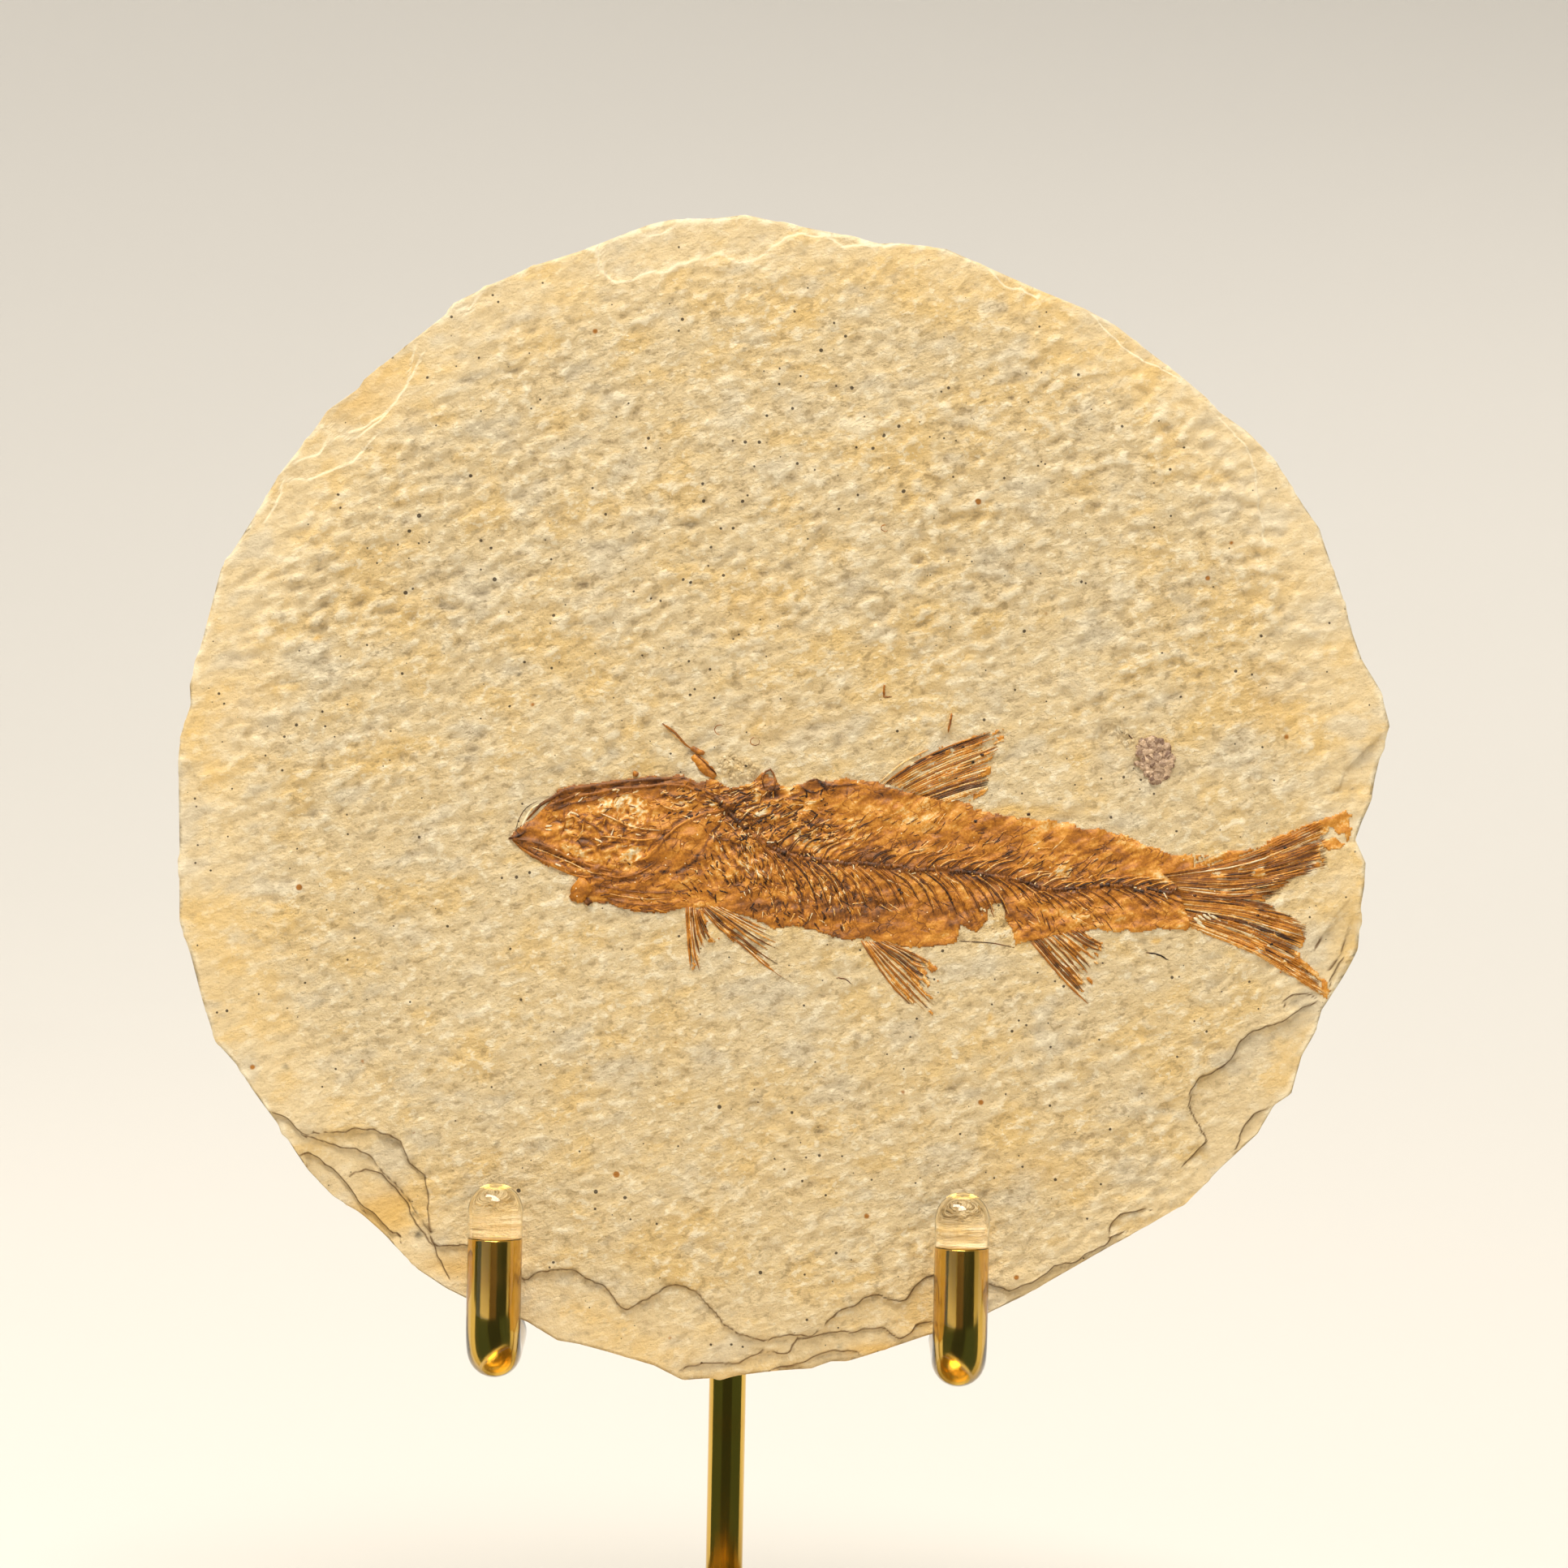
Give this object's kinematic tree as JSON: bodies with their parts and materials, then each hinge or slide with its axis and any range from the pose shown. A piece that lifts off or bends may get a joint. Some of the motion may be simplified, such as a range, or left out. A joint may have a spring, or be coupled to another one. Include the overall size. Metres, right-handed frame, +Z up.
{
  "type": "fossil fish slab on a display stand",
  "caption": "Round hand-trimmed limestone slab with a small fish fossil in relief, resting upright in a brass display stand with clear sleeved prongs.",
  "frame": {"origin": "on the spine rod's axis at the underside of the foot", "axes": "+Z up along the rod; the slab's face looks towards -Y; +X is to the viewer's right, towards the fish's tail"},
  "size_m": [0.1052, 0.074, 0.1391],
  "materials": {
    "limestone": "matt cream laminated limestone with yellow stains",
    "fossil_bone": "orange-brown fossil bone and skin film, slightly waxy",
    "brass": "polished",
    "clear_vinyl": "clear glossy soft vinyl"
  },
  "bodies": {
    "root": {"slab": "limestone", "fish": "fossil_bone", "base": "brass", "spine_rod": "brass", "crossbar": "brass", "hook_left": "brass", "hook_right": "brass", "sleeve_left": "clear_vinyl", "sleeve_right": "clear_vinyl", "back_tip": "clear_vinyl"}
  },
  "joints": []
}
